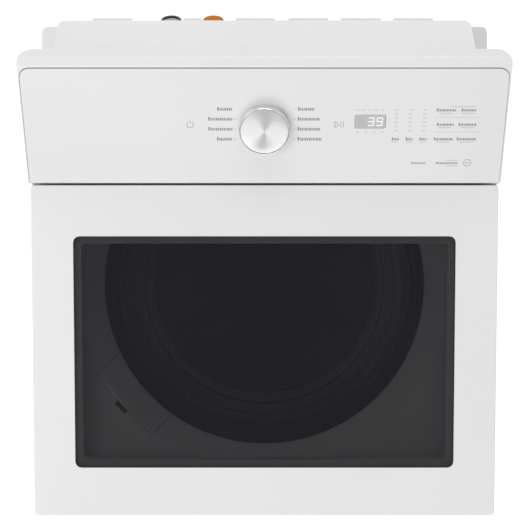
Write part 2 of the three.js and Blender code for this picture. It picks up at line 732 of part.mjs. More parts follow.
function washBasket() {
  const inner = BASKET_R - SHEET;
  return ring([
    [inner, BASKET_TOP_Z], [inner, BASKET_BOTTOM_Z + 9], [inner - 6, BASKET_BOTTOM_Z + 3],
    [26, BASKET_BOTTOM_Z + 3], [26, BASKET_BOTTOM_Z], [BASKET_R - 7, BASKET_BOTTOM_Z],
    [BASKET_R, BASKET_BOTTOM_Z + 8], [BASKET_R, BASKET_TOP_Z],
  ]);
}

function balanceRing() {
  const bottom = BASKET_TOP_Z + GAP;
  return ring([
    [BASKET_R - 4, bottom], [BASKET_R, bottom + 4], [BASKET_R, 868], [BASKET_R - 8, 876],
    [RING_R + 8, 876], [RING_R + 2, 873], [RING_R, 867], [RING_R, 858], [RING_R + 5, bottom + 2],
    [RING_R + 12, bottom],
  ]);
}

function spinShaft() {
  const bore = WASH_SHAFT_R + 0.5;
  return ring([
    [bore, 146], [SPIN_SHAFT_R, 146], [SPIN_SHAFT_R, 280], [60, 286], [120, 289],
    [120, BASKET_BOTTOM_Z - GAP], [bore, BASKET_BOTTOM_Z - GAP],
  ], 24);
}

function impeller() {
  const socket = WASH_SHAFT_R + 0.4;
  const dish = turned([
    [0, 324], [socket, 324], [socket, 302], [24, 302], [30, 308], [150, 312], [208, 318],
    [IMPELLER_R, 327], [IMPELLER_R - 2, 331], [204, 323], [150, 318], [75, 327], [42, 344],
    [0, 348],
  ], 36);
  const vanes = [];
  for (let i = 0; i < 6; i += 1) {
    const vane = alongX([[38, 340], [60, 325], [196, 316], [198, 330], [110, 338], [44, 352]], -5, 5);
    vanes.push(vane.rotateZ((i * Math.PI) / 3));
  }
  return join(dish, ...vanes);
}

function washShaft() {
  return rod(WASH_SHAFT_R, 126, 323.6);
}

function rotor() {
  const bore = WASH_SHAFT_R + 0.3;
  return ring([
    [bore, 143], [bore, 128], [24, 128], [30, 135], [124, 135], [124, 190], [116, 190],
    [116, 140], [28, 140], [24, 143],
  ], 24);
}

function clutchCoupler() {
  const innerR = SPIN_SHAFT_R + 0.4;
  return ring([[innerR, 152], [26, 152], [28, 156], [28, 164], [innerR, 164]], 24);
}

function suspensionRod() {
  return turned([
    [0, 208], [15, 208], [15, 219], [ROD_R, 219], [ROD_R, 906.4], [9, 906.4], [9, 911], [0, 911],
  ], 12);
}

function suspensionSpring() {
  return ring([[ROD_R + 0.6, 219.4], [13, 219.4], [13, LUG_Z - GAP], [ROD_R + 0.6, LUG_Z - GAP]], 12);
}

// ---- drain ----
function pumpBody() {
  const body = turned([
    [0, BASE_TOP_Z + GAP], [46, BASE_TOP_Z + GAP], [46, 112], [20, 118], [20, 132], [15, 132],
    [15, 110], [38, 108], [38, 72], [0, 72],
  ], 20);
  return cut(body, faceBack(rod(11, -60, 0, 16)).translate(0, 0, PUMP.z));
}

function pumpImpeller() {
  const hub = rod(9, 76, 104, 16);
  return join(hub, block(-32, 32, -2.5, 2.5, 78, 102), block(-2.5, 2.5, -32, 32, 78, 102));
}

function drainHose() {
  return ring([[15, 132.4], [19, 132.4], [19, TUB_BOTTOM_Z - 15.4], [15, TUB_BOTTOM_Z - 15.4]], 16);
}

function drainPipe() {
  const start = 47.5;
  const end = REAR_LIMIT_Y - 1.5 - PUMP.y;
  const pipe = ring([[11, start], [14, start], [14, end - 8], [15.5, end - 6], [14, end], [11, end]], 20);
  return faceBack(pipe).translate(PUMP.x, PUMP.y, PUMP.z);
}

function cordGland() {
  const gland = ring([[4.5, -9], [8, -9], [8, 0.3], [12, 0.3], [11, 5], [4.5, 5]], 20);
  return faceBack(gland).translate(GLAND.x, REAR_FACE_Y, GLAND.z);
}

// ---- assembly ----
function addCabinet() {
  add(machine, 'cabinet_shell', cabinetShell(), 'enamel');
  add(machine, 'rear_panel', rearPanel(), 'zinc');
  add(machine, 'base_frame', baseFrame(), 'zinc');
  add(machine, 'top_cover', topCover(), 'white');
  for (const side of [-1, 1]) {
    const hand = side < 0 ? 'left' : 'right';
    add(machine, `hinge_bracket_${hand}`, hingeBracket(side), 'zinc');
    add(machine, `hinge_pin_${hand}`, hingePin(side), 'steel');
    for (const y of FOOT_Y) {
      const end = y < 0 ? 'front' : 'rear';
      const foot = groupAt(side * FOOT_X, y, 0);
      add(foot, `levelling_foot_${end}_${hand}`, levellingFoot(), 'rubber');
      const corner = groupAt(side * ROD_OFFSET, TUB_Y + Math.sign(y) * ROD_OFFSET, 0);
      add(corner, `suspension_rod_${end}_${hand}`, suspensionRod(), 'steel');
      add(corner, `suspension_spring_${end}_${hand}`, suspensionSpring(), 'zinc');
    }
  }
  add(machine, 'lid_lock_housing', lidLockHousing(), 'dark');
  add(machine, 'lid_lock_bolt', lidLockBolt(), 'grey');
  add(machine, 'cord_gland', cordGland(), 'dark');
}

function addConsole() {
  add(machine, 'console_housing', consoleHousing(), 'white');
  add(machine, 'console_rear_cover', consoleRearCover(), 'white');
  const face = faceGroup();
  add(face, 'console_fascia', consoleFascia(), 'white');
  add(face, 'display_window', displayWindow(), 'lens');
  add(face, 'control_board', controlBoard(), 'board');
  add(face, 'dial_knob', dialKnob(), 'chrome');
  add(face, 'dial_face', dialFace(), 'steel');
  for (const [water, x] of Object.entries(INLET_X)) {
    add(machine, `${water}_inlet_valve`, inletPlace(inletValve(), x), 'white');
    const cap = inletCap(water === 'cold' ? 10 : 0);
    add(machine, `${water}_inlet_cap`, inletPlace(cap, x), water === 'cold' ? 'dark' : 'orange');
  }
}

function addDispenser() {
  const place = groupAt(DRAWER_X, DRAWER_Y, 0);
  place.rotation.z = DRAWER_TURN;
  add(place, 'dispenser_housing', dispenserHousing(), 'white');
  add(place, 'dispenser_drawer', dispenserDrawer(), 'white');
  add(place, 'siphon_cap', siphonCap().translate(-50, 32, 0), 'grey');
}

function addLid() {
  const lid = groupAt(0, HINGE_Y, HINGE_Z);
  lid.rotation.x = LID_SLOPE;
  add(lid, 'lid_frame', lidFrame(), 'white');
  add(lid, 'lid_glass', lidGlass(), 'glass');
  add(lid, 'lid_inner_frame', lidInnerFrame(), 'white');
  add(lid, 'lid_hinge_arm_left', hingeArm(-1), 'zinc');
  add(lid, 'lid_hinge_arm_right', hingeArm(1), 'zinc');
  add(lid, 'lid_strike', lidStrike(), 'steel');
}

function addTub() {
  const tub = groupAt(0, TUB_Y, 0);
  add(tub, 'outer_tub', outerTub(), 'grey');
  add(tub, 'tub_cover', tubCover(), 'dark');
  add(tub, 'bearing_housing', bearingHousing(), 'zinc');
  add(tub, 'upper_bearing', bearing(34, 207, 223), 'steel');
  add(tub, 'lower_bearing', bearing(30, 171, 187), 'steel');
  add(tub, 'stator', stator(), 'copper');
  add(tub, 'wash_basket', washBasket(), 'steel');
  add(tub, 'balance_ring', balanceRing(), 'dark');
  add(tub, 'spin_shaft', spinShaft(), 'steel');
  add(tub, 'impeller', impeller(), 'grey');
  add(tub, 'wash_shaft', washShaft(), 'steel');
  add(tub, 'rotor', rotor(), 'zinc');
  add(tub, 'clutch_coupler', clutchCoupler(), 'grey');
}

function addDrain() {
  const place = groupAt(PUMP.x, PUMP.y, 0);
  add(place, 'drain_pump_body', pumpBody(), 'grey');
  add(place, 'pump_impeller', pumpImpeller(), 'dark');
  add(place, 'drain_hose', drainHose(), 'rubber');
  add(machine, 'drain_outlet_pipe', drainPipe(), 'grey');
}

addCabinet();
addConsole();
addDispenser();
addLid();
addTub();
addDrain();

export default machine;
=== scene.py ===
import json
import math

import bmesh
import bpy
from mathutils import Matrix, Vector


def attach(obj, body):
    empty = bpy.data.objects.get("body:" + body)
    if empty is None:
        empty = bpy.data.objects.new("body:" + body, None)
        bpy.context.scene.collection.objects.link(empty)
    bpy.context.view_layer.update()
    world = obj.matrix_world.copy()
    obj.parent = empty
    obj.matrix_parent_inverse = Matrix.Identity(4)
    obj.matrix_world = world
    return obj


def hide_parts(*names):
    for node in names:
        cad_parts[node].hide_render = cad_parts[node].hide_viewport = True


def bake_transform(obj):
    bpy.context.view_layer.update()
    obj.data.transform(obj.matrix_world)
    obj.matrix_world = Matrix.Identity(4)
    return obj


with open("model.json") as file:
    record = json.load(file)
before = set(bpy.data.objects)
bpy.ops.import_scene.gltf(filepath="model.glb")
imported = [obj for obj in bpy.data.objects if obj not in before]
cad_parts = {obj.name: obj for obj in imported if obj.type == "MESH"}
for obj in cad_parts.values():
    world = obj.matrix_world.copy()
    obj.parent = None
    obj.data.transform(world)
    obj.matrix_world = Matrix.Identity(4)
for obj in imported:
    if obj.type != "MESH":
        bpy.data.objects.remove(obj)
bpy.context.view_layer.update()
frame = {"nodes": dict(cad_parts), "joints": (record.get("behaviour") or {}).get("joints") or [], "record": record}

MM = 0.001
NODES = frame["nodes"]
BODY_OF = {n: body for body, members in frame["record"]["behaviour"]["bodies"].items() for n in members}
SLOT_OF = {row["node"]: row["material_slot"] for row in frame["record"]["subparts"]}
JOINTS = {joint["name"]: joint for joint in frame["joints"]}

# Driving dimensions, in metres
TUB_Y = JOINTS["basket_spin"]["pos_m"][1]
FACE_SLOPE = math.radians(31.48)
FACE_START = Vector((0, 0.1226, 1.0325))
DIAL_V = 0.0877
DIAL_R = 0.0363
DIAL_HEIGHT = 0.014
DIAL_FACE_R = 0.0338
CAMERA_HEIGHT = 2.966
CAMERA_LENS = 90.58
CAMERA_TILT = math.radians(0.795)
FULL_TURN = 2 * math.pi

for leftover in ("Cube", "Light", "Camera"):
    if leftover in bpy.data.objects:
        bpy.data.objects.remove(bpy.data.objects[leftover])


# ---- camera, light and floor ----
def make_camera():
    data = bpy.data.cameras.new("camera")
    data.lens = CAMERA_LENS
    data.sensor_width = 36
    data.shift_x = 0.0011
    camera = bpy.data.objects.new("camera", data)
    camera.location = (0, TUB_Y, CAMERA_HEIGHT)
    camera.rotation_euler = (CAMERA_TILT, 0, 0)
    bpy.context.scene.collection.objects.link(camera)
    bpy.context.scene.camera = camera


def soft_light(name, place, target, size, power):
    data = bpy.data.lights.new(name, "AREA")
    data.shape = "RECTANGLE"
    data.size, data.size_y = size
    data.energy = power
    light = bpy.data.objects.new(name, data)
    light.location = place
    aim = Vector(target) - Vector(place)
    light.rotation_euler = aim.to_track_quat("-Z", "Y").to_euler()
    bpy.context.scene.collection.objects.link(light)


def make_studio():
    world = bpy.data.worlds.new("studio")
    world.use_nodes = True
    world.node_tree.nodes["Background"].inputs["Color"].default_value = (1, 1, 1, 1)
    world.node_tree.nodes["Background"].inputs["Strength"].default_value = 0.46
    bpy.context.scene.world = world
    bpy.context.scene.view_settings.view_transform = "Standard"
    top = (0, 0, 1)
    soft_light("left_softbox", (-2.6, -0.6, 4.2), top, (2.6, 2.6), 50)
    soft_light("right_softbox", (2.6, -0.6, 4.2), top, (2.6, 2.6), 10)
    soft_light("front_softbox", (-0.4, -3.0, 4.2), top, (3.0, 2.0), 12)
    soft_light("front_low_softbox", (-0.6, -4.2, 2.2), top, (3.4, 2.0), 64)
    soft_light("rear_softbox", (0, 3.2, 3.4), top, (3.4, 2.2), 60)


def make_floor():
    mesh = bpy.data.meshes.new("floor")
    half = 12
    mesh.from_pydata([(-half, -half, 0), (half, -half, 0), (half, half, 0), (-half, half, 0)],
                     [], [(0, 1, 2, 3)])
    floor = bpy.data.objects.new("floor", mesh)
    bpy.context.scene.collection.objects.link(floor)
    material = bpy.data.materials.new("floor")
    material.use_nodes = True
    shader = material.node_tree.nodes["Principled BSDF"]
    shader.inputs["Base Color"].default_value = (0.92, 0.92, 0.92, 1)
    shader.inputs["Roughness"].default_value = 0.9
    shader.inputs["Emission Color"].default_value = (1, 1, 1, 1)
    shader.inputs["Emission Strength"].default_value = 0.35
    mesh.materials.append(material)


# ---- materials ----
class Finish:
    """A node material on one Principled shader, with short calls for what repeats."""

    def __init__(self, name, roughness, metallic=0.0, **sockets):
        self.material = bpy.data.materials.new(name)
        self.material.use_nodes = True
        self.tree = self.material.node_tree
        self.shader = self.tree.nodes["Principled BSDF"]
        self.shader.inputs["Roughness"].default_value = roughness
        self.shader.inputs["Metallic"].default_value = metallic
        for socket, value in sockets.items():
            self.shader.inputs[socket.replace("_", " ")].default_value = value
        self.place = self.node("ShaderNodeTexCoord").outputs["Object"]

    def node(self, kind, **settings):
        made = self.tree.nodes.new(kind)
        for key, value in settings.items():
            setattr(made, key, value)
        return made

    def link(self, source, target):
        self.tree.links.new(source, target)

    def stretched(self, scale):
        mapping = self.node("ShaderNodeMapping")
        mapping.inputs["Scale"].default_value = scale
        self.link(self.place, mapping.inputs["Vector"])
        return mapping.outputs["Vector"]

    def noise(self, scale, detail=2.0, vector=None):
        texture = self.node("ShaderNodeTexNoise")
        texture.inputs["Scale"].default_value = scale
        texture.inputs["Detail"].default_value = detail
        self.link(vector or self.place, texture.inputs["Vector"])
        return texture.outputs["Fac"]

    def ramp(self, factor, colours, low=0.3, high=0.7):
        ramp = self.node("ShaderNodeValToRGB")
        ramp.color_ramp.elements[0].position = low
        ramp.color_ramp.elements[1].position = high
        ramp.color_ramp.elements[0].color = (*colours[0], 1)
        ramp.color_ramp.elements[1].color = (*colours[1], 1)
        self.link(factor, ramp.inputs["Fac"])
        return ramp.outputs["Color"]

    def colour(self, factor, colours, low=0.3, high=0.7):
        self.link(self.ramp(factor, colours, low, high), self.shader.inputs["Base Color"])
        return self

    def roughness(self, factor, low, high):
        span = self.node("ShaderNodeMapRange")
        span.inputs["To Min"].default_value = low
        span.inputs["To Max"].default_value = high
        self.link(factor, span.inputs["Value"])
        self.link(span.outputs["Result"], self.shader.inputs["Roughness"])
        return self

    def bump(self, height, strength, distance):
        bump = self.node("ShaderNodeBump")
        bump.inputs["Strength"].default_value = strength
        bump.inputs["Distance"].default_value = distance
        self.link(height, bump.inputs["Height"])
        self.link(bump.outputs["Normal"], self.shader.inputs["Normal"])
        return self


def grey(level, pink=0.0):
    return (level * (1 + pink), level * (1 - pink), level)


def white_enamel():
    finish = Finish("white_enamel", 0.3, Coat_Weight=0.25, Coat_Roughness=0.08)
    finish.colour(finish.noise(3.0, 4), (grey(0.775, 0.006), grey(0.80, 0.006)))
    finish.roughness(finish.noise(40, 3), 0.24, 0.34)
    return finish.bump(finish.noise(170, 2), 0.03, 0.0002).material


def white_plastic():
    finish = Finish("white_plastic", 0.32)
    finish.colour(finish.noise(4.0, 4), (grey(0.770, 0.006), grey(0.795, 0.006)))
    finish.roughness(finish.noise(60, 4), 0.28, 0.38)
    return finish.bump(finish.noise(1400, 3), 0.10, 0.00012).material


def fascia_white():
    finish = Finish("fascia_white", 0.16, Coat_Weight=0.4, Coat_Roughness=0.05)
    finish.colour(finish.noise(5.0, 3), (grey(0.775, 0.001), grey(0.795, 0.001)))
    finish.roughness(finish.noise(35, 4), 0.14, 0.22)
    return finish.bump(finish.noise(300, 1), 0.05, 0.0001).material


def dark_plastic():
    finish = Finish("dark_plastic", 0.42)
    finish.colour(finish.noise(12, 4), (grey(0.013), grey(0.020)))
    finish.roughness(finish.noise(90, 3), 0.36, 0.50)
    return finish.bump(finish.noise(1800, 3), 0.25, 0.00015).material


def grey_plastic():
    finish = Finish("grey_plastic", 0.5)
    finish.colour(finish.noise(9, 5), (grey(0.25), grey(0.32)))
    finish.roughness(finish.noise(70, 3), 0.44, 0.58)
    return finish.bump(finish.noise(1200, 3), 0.22, 0.0002).material


def orange_plastic():
    finish = Finish("orange_plastic", 0.6, Specular_IOR_Level=0.15)
    finish.colour(finish.noise(60, 3), ((0.46, 0.135, 0.002), (0.54, 0.165, 0.003)))
    return finish.bump(finish.noise(1500, 2), 0.2, 0.0001).material


GLASS_ALPHA = 0.55


def tinted_glass():
    finish = Finish("tinted_glass", 0.03, IOR=1.43)
    finish.shader.inputs["Alpha"].default_value = GLASS_ALPHA
    finish.colour(finish.noise(6, 3), ((0.006, 0.006, 0.009), (0.009, 0.009, 0.013)))
    return finish.roughness(finish.noise(14, 5), 0.02, 0.06).material


def display_lens():
    finish = Finish("display_lens", 0.14, Coat_Weight=0.5)
    finish.colour(finish.noise(80, 2), (grey(0.50), grey(0.53)))
    return finish.roughness(finish.noise(40, 3), 0.10, 0.18).material


def brushed_steel():
    finish = Finish("brushed_steel", 0.3, metallic=1.0)
    streaks = finish.noise(90, 6, finish.stretched((1, 1, 40)))
    finish.colour(streaks, (grey(0.46), grey(0.62)))
    finish.roughness(streaks, 0.24, 0.42)
    return finish.bump(streaks, 0.12, 0.0001).material


def galvanised():
    finish = Finish("galvanised", 0.42, metallic=0.9)
    spangle = finish.node("ShaderNodeTexVoronoi")
    spangle.inputs["Scale"].default_value = 130
    finish.link(finish.place, spangle.inputs["Vector"])
    tone = finish.node("ShaderNodeRGBToBW")
    finish.link(spangle.outputs["Color"], tone.inputs["Color"])
    finish.colour(tone.outputs["Val"], (grey(0.40), grey(0.48)), 0.2, 0.9)
    return finish.roughness(tone.outputs["Val"], 0.38, 0.46).material


def chrome():
    finish = Finish("chrome", 0.08, metallic=1.0)
    finish.colour(finish.noise(30, 3), (grey(0.78), grey(0.84)))
    return finish.roughness(finish.noise(160, 4), 0.05, 0.12).material


def ring_distance(finish):
    """Distance from the piece's own Z axis."""
    flat = finish.node("ShaderNodeVectorMath", operation="MULTIPLY")
    flat.inputs[1].default_value = (1, 1, 0)
    finish.link(finish.place, flat.inputs[0])
    length = finish.node("ShaderNodeVectorMath", operation="LENGTH")
    finish.link(flat.outputs["Vector"], length.inputs[0])
    return length.outputs["Value"]


def spun_aluminium():
    finish = Finish("spun_aluminium", 0.32, metallic=1.0, Anisotropic=0.85)
    radius = ring_distance(finish)
    spread = finish.node("ShaderNodeCombineXYZ")
    finish.link(radius, spread.inputs["X"])
    rings = finish.noise(1500, 4, spread.outputs["Vector"])
    finish.colour(rings, (grey(0.54), grey(0.63)))
    finish.bump(rings, 0.25, 0.00005)
    tangent = finish.node("ShaderNodeTangent", direction_type="RADIAL", axis="Z")
    finish.link(tangent.outputs["Tangent"], finish.shader.inputs["Tangent"])
    return finish.material


def rubber():
    finish = Finish("rubber", 0.8)
    finish.colour(finish.noise(25, 4), (grey(0.014), grey(0.026)))
    return finish.bump(finish.noise(900, 4), 0.4, 0.0003).material


def circuit_board():
    finish = Finish("circuit_board", 0.4)
    tracks = finish.node("ShaderNodeTexBrick")
    tracks.inputs["Scale"].default_value = 60
    tracks.inputs["Color1"].default_value = (0.012, 0.10, 0.035, 1)
    tracks.inputs["Color2"].default_value = (0.018, 0.13, 0.045, 1)
    tracks.inputs["Mortar"].default_value = (0.05, 0.20, 0.06, 1)
    tracks.inputs["Mortar Size"].default_value = 0.012
    finish.link(finish.place, tracks.inputs["Vector"])
    finish.link(tracks.outputs["Color"], finish.shader.inputs["Base Color"])
    return finish.bump(tracks.outputs["Fac"], 0.2, 0.0001).material


def copper_windings():
    finish = Finish("copper_windings", 0.35, metallic=0.9)
    turns = finish.noise(60, 3, finish.stretched((1, 1, 30)))
    finish.colour(turns, ((0.38, 0.12, 0.05), (0.66, 0.27, 0.12)))
    return finish.bump(turns, 0.6, 0.0006).material


def ink(name, level):
    finish = Finish(name, 0.5)
    return finish.colour(finish.noise(400, 2), (grey(level * 0.92), grey(level * 1.08))).material


def lit(name, colour, strength):
    finish = Finish(name, 0.3, Emission_Color=(*colour, 1), Emission_Strength=strength)
    return finish.colour(finish.noise(300, 2), (colour, colour)).material


MATERIALS = {
    "enamel": white_enamel(),
    "white_plastic": white_plastic(),
    "dark_plastic": dark_plastic(),
    "tinted_glass": tinted_glass(),
    "display_lens": display_lens(),
    "stainless": brushed_steel(),
    "zinc": galvanised(),
    "chrome": chrome(),
    "spun_metal": spun_aluminium(),
    "rubber": rubber(),
    "grey_plastic": grey_plastic(),
    "orange_plastic": orange_plastic(),
    "circuit_board": circuit_board(),
    "copper": copper_windings(),
}
FASCIA = fascia_white()
INK = ink("grey_ink", 0.26)
MID_INK = ink("mid_ink", 0.30)
FAINT_INK = ink("faint_ink", 0.50)
DIGITS = lit("digits", (0.9, 0.93, 0.95), 0.12)


# ---- making pieces ----
def piece(name, mesh, body, slot, nodes=(), material=None, smooth=35, place=None):
    obj = bpy.data.objects.new(name, mesh)
    bpy.context.scene.collection.objects.link(obj)
    mesh.materials.clear()
    mesh.materials.append(material or MATERIALS[slot])
    mesh.shade_smooth()
    mesh.set_sharp_from_angle(angle=math.radians(smooth))
    if place is not None:
        obj.matrix_world = place
    if body:
        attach(obj, body)
    if nodes:
        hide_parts(*nodes)
    return obj


def mesh_of(name, bm):
    mesh = bpy.data.meshes.new(name)
    bmesh.ops.recalc_face_normals(bm, faces=bm.faces)
    bm.to_mesh(mesh)
    bm.free()
    return mesh


def round_edges(obj, width, segments=3, angle=32):
    bevel = obj.modifiers.new("round", "BEVEL")
    bevel.width = width
    bevel.segments = segments
    bevel.limit_method = "ANGLE"
    bevel.angle_limit = math.radians(angle)
    bevel.miter_outer = "MITER_ARC"
    normals = obj.modifiers.new("normals", "WEIGHTED_NORMAL")
    normals.keep_sharp = True
    return obj


def welded(mesh):
    """The mesh as a bmesh whose triangles share their corners."""
    bm = bmesh.new()
    bm.from_mesh(mesh)
    bmesh.ops.remove_doubles(bm, verts=bm.verts, dist=1e-6)
    bm.verts.ensure_lookup_table()
    bm.verts.index_update()
    return bm


def refined(node, width, segments=3, material=None):
    """A copy of a CAD node's shape, without its triangles and with rounded edges."""
    bm = welded(NODES[node].data)
    bmesh.ops.dissolve_limit(bm, angle_limit=math.radians(0.6), verts=bm.verts, edges=bm.edges)
    obj = piece(f"{node}_skin", mesh_of(node, bm), BODY_OF[node], SLOT_OF[node], [node], material)
    return round_edges(obj, width, segments)


def box_in(bm, low, high):
    """Adds a closed box between two corners to bm."""
    middle = (Vector(low) + Vector(high)) / 2
    size = Vector(high) - Vector(low)
    matrix = Matrix.Translation(middle) @ Matrix.Diagonal((*size, 1))
    bmesh.ops.create_cube(bm, size=1, matrix=matrix)


def rounded_profile(points, steps=3):
    """(radius, height, corner radius) points with each corner rounded."""
    made = []
    for i, (x, y, corner_r) in enumerate(points):
        corner = Vector((x, y))
        before = Vector(points[i - 1][:2]) - corner
        after = Vector(points[(i + 1) % len(points)][:2]) - corner
        if corner_r <= 0:
            made.append(corner)
            continue
        reach = min(corner_r, before.length / 2.01, after.length / 2.01)
        start = corner + before.normalized() * reach
        end = corner + after.normalized() * reach
        for k in range(steps + 1):
            t = k / steps
            made.append(start * (1 - t) ** 2 + corner * (2 * t * (1 - t)) + end * t * t)
    return made


def lathe_in(bm, points, segments, closed=True):
    """Adds a turned shape about Z; points on the axis close it."""
    rings = []
    for radius, height in points:
        if radius < 1e-7:
            rings.append([bm.verts.new((0, 0, height))])
            continue
        rings.append([
            bm.verts.new((radius * math.cos(FULL_TURN * i / segments),
                          radius * math.sin(FULL_TURN * i / segments), height))
            for i in range(segments)
        ])
    pairs = list(zip(rings, rings[1:]))
    if closed and len(rings[0]) > 1:
        pairs.append((rings[-1], rings[0]))
    for low, high in pairs:
        for i in range(segments):
            j = (i + 1) % segments
            corners = [low[i % len(low)], low[j % len(low)], high[j % len(high)], high[i % len(high)]]
            corners = list(dict.fromkeys(corners))
            if len(corners) > 2:
                bm.faces.new(corners)


def turned(name, points, body, slot, nodes=(), segments=96, centre=(0, 0, 0), steps=3, **options):
    """Turned piece about a vertical axis, from (radius, height, corner radius) points in metres."""
    bm = bmesh.new()
    lathe_in(bm, rounded_profile(points, steps), segments)
    place = options.pop("place", Matrix.Translation(centre))
    return piece(name, mesh_of(name, bm), body, slot, nodes, place=place, **options)


def face_place(v=0.0, x=0.0, lift=0.0):
    """Frame on the console's sloping face, at v up the slope."""
    slope = Matrix.Rotation(FACE_SLOPE, 4, "X")
    return Matrix.Translation(FACE_START) @ slope @ Matrix.Translation((x, v, lift))


# ---- casing ----
def make_casing():
    refined("cabinet_shell", 0.0006, 2)
    refined("rear_panel", 0.0005, 2)
    refined("base_frame", 0.001, 2)
    refined("top_cover", 0.0016, 3)
    refined("console_housing", 0.0014, 3)
    refined("console_rear_cover", 0.0016, 3)
    refined("console_fascia", 0.0007, 3, FASCIA)
    refined("dispenser_housing", 0.0008, 2)
    refined("dispenser_drawer", 0.0011, 3)
    refined("siphon_cap", 0.0008, 2)
    refined("lid_lock_housing", 0.001, 2)
    refined("lid_lock_bolt", 0.0008, 2)
    refined("lid_frame", 0.0012, 3)
    refined("lid_inner_frame", 0.0012, 3)
    refined("lid_strike", 0.0008, 2)
    refined("display_window", 0.0004, 2)
    refined("control_board", 0.0003, 1)
    refined("lid_glass", 0.0009, 3)
    for side in ("left", "right"):
        refined(f"lid_hinge_arm_{side}", 0.0006, 2)
        refined(f"hinge_bracket_{side}", 0.0006, 2)
        refined(f"hinge_pin_{side}", 0.0004, 2)


# ---- round parts ----
def join_flats(links, height):
    """Joins the two rims of each flat ring, whose edge the CAD's triangles leave out."""
    loose = [i for i in links if len(links[i]) == 1]
    for a in loose:
        for b in loose:
            if a < b and abs(height[a] - height[b]) < 1e-6:
                links[a].append(b)
                links[b].append(a)


def section_of(mesh, centre):
    """(radius, height) points of a turned CAD mesh, and whether they leave out its axis."""
    bm = welded(mesh)
    radius = {v.index: centre[1] - v.co.y for v in bm.verts
              if abs(v.co.x - centre[0]) < 1e-5 and v.co.y < centre[1] + 1e-5}
    height = {i: bm.verts[i].co.z for i in radius}
    links = {i: [] for i in height}
    for edge in bm.edges:
        a, b = (vert.index for vert in edge.verts)
        if a in links and b in links:
            links[a].append(b)
            links[b].append(a)
    bm.free()
    join_flats(links, height)
    ends = [i for i in links if len(links[i]) == 1]
    path = [min(ends or height, key=height.get)]
    while True:
        onward = [i for i in links[path[-1]] if i not in path]
        if not onward:
            break
        path.append(onward[0])
    return [(radius[i], height[i]) for i in path], bool(ends)


def relathed(node, corner=0.0008, segments=96, centre=(0, TUB_Y)):
    """Turns a CAD ring or rod again, finely and with rounded corners, from its own section."""
    points, solid = section_of(NODES[node].data, centre)
    if solid:
        points = [(0, points[0][1]), *points, (0, points[-1][1])]
    rounded = [(r, z, corner if r > 1e-5 else 0) for r, z in points]
    bm = bmesh.new()
    lathe_in(bm, rounded_profile(rounded), segments, closed=not solid)
    place = Matrix.Translation((*centre, 0))
    return piece(f"{node}_round", mesh_of(node, bm), BODY_OF[node], SLOT_OF[node], [node],
                 place=place)


def around(count, start=0.0):
    return [start + FULL_TURN * i / count for i in range(count)]


def tube_along(bm, points, radius, sides=8):
    """Adds a round tube that follows points, closed at both ends."""
    rings = []
    for i, point in enumerate(points):
        ahead = (points[min(i + 1, len(points) - 1)] - points[max(i - 1, 0)]).normalized()
        across = ahead.cross(Vector((0, 0, 1)))
        across = across.normalized() if across.length > 1e-4 else Vector((1, 0, 0))
        upward = across.cross(ahead)
        rings.append([bm.verts.new(point + radius * (math.cos(a) * across + math.sin(a) * upward))
                      for a in around(sides)])
    for low, high in zip(rings, rings[1:]):
        for i in range(sides):
            j = (i + 1) % sides
            bm.faces.new((low[i], low[j], high[j], high[i]))
    bm.faces.new(rings[0])
    bm.faces.new(rings[-1])


def hexagon_in(bm, radius, low, high):
    bmesh.ops.create_cone(bm, cap_ends=True, segments=6, radius1=radius, radius2=radius,
                          depth=high - low, matrix=Matrix.Translation((0, 0, (low + high) / 2)))


# ---- tub, basket and drive ----
COVER_SCREWS_R = 0.291
COVER_SCREWS_Z = 0.8996
BASKET_R = 0.283
BASKET_RIBS = 12
BASKET_LOW = 0.33
BASKET_HIGH = 0.82
IMPELLER_R = 0.215
VANES = 6
VANE_HEIGHT = 0.017
VANE_HALF = 0.012


def perforated_steel():
    finish = Finish("perforated_steel", 0.3, metallic=1.0)
    parts = finish.node("ShaderNodeSeparateXYZ")
    finish.link(finish.place, parts.inputs["Vector"])
    angle = finish.node("ShaderNodeMath", operation="ARCTAN2")
    finish.link(parts.outputs["Y"], angle.inputs[0])
    finish.link(parts.outputs["X"], angle.inputs[1])
    unrolled = finish.node("ShaderNodeCombineXYZ")
    finish.link(angle.outputs["Value"], unrolled.inputs["X"])
    finish.link(parts.outputs["Z"], unrolled.inputs["Y"])
    spread = finish.node("ShaderNodeVectorMath", operation="MULTIPLY")
    spread.inputs[1].default_value = (22, 60, 0)
    finish.link(unrolled.outputs["Vector"], spread.inputs[0])
    return shaded_holes_in(finish, spread.outputs["Vector"]).material


def shaded_holes_in(finish, vector, dark=0.01):
    """Gives finish an even grid of small holes over vector, painted dark: the perforations are real, their dark
    colour is painted shade for the view through them.
    """
    grid = finish.node("ShaderNodeTexVoronoi", voronoi_dimensions="2D")
    grid.inputs["Scale"].default_value = 1.0
    grid.inputs["Randomness"].default_value = 0.0
    finish.link(vector, grid.inputs["Vector"])
    # painted shade: the holes' dark colour stands for the shade seen through the perforations
    finish.colour(grid.outputs["Distance"], (grey(dark), grey(0.50)), 0.10, 0.18)
    return finish.bump(grid.outputs["Distance"], 0.4, 0.0008)


def basket_floor_steel():
    finish = Finish("basket_floor_steel", 0.34, metallic=1.0)
    spread = finish.node("ShaderNodeVectorMath", operation="MULTIPLY")
    spread.inputs[1].default_value = (95, 95, 0)
    finish.link(finish.place, spread.inputs[0])
    return shaded_holes_in(finish, spread.outputs["Vector"], 0.32).material


def basket_rib(vert):
    """Presses rounded upright ribs into the basket's wall."""
    radius = math.hypot(vert.co.x, vert.co.y)
    if radius < 0.27 or not BASKET_LOW < vert.co.z < BASKET_HIGH:
        return
    turn = math.atan2(vert.co.y, vert.co.x)
    inward = 0.004 * max(0.0, math.cos(turn * BASKET_RIBS)) ** 4
    vert.co.x *= 1 - inward / radius
    vert.co.y *= 1 - inward / radius


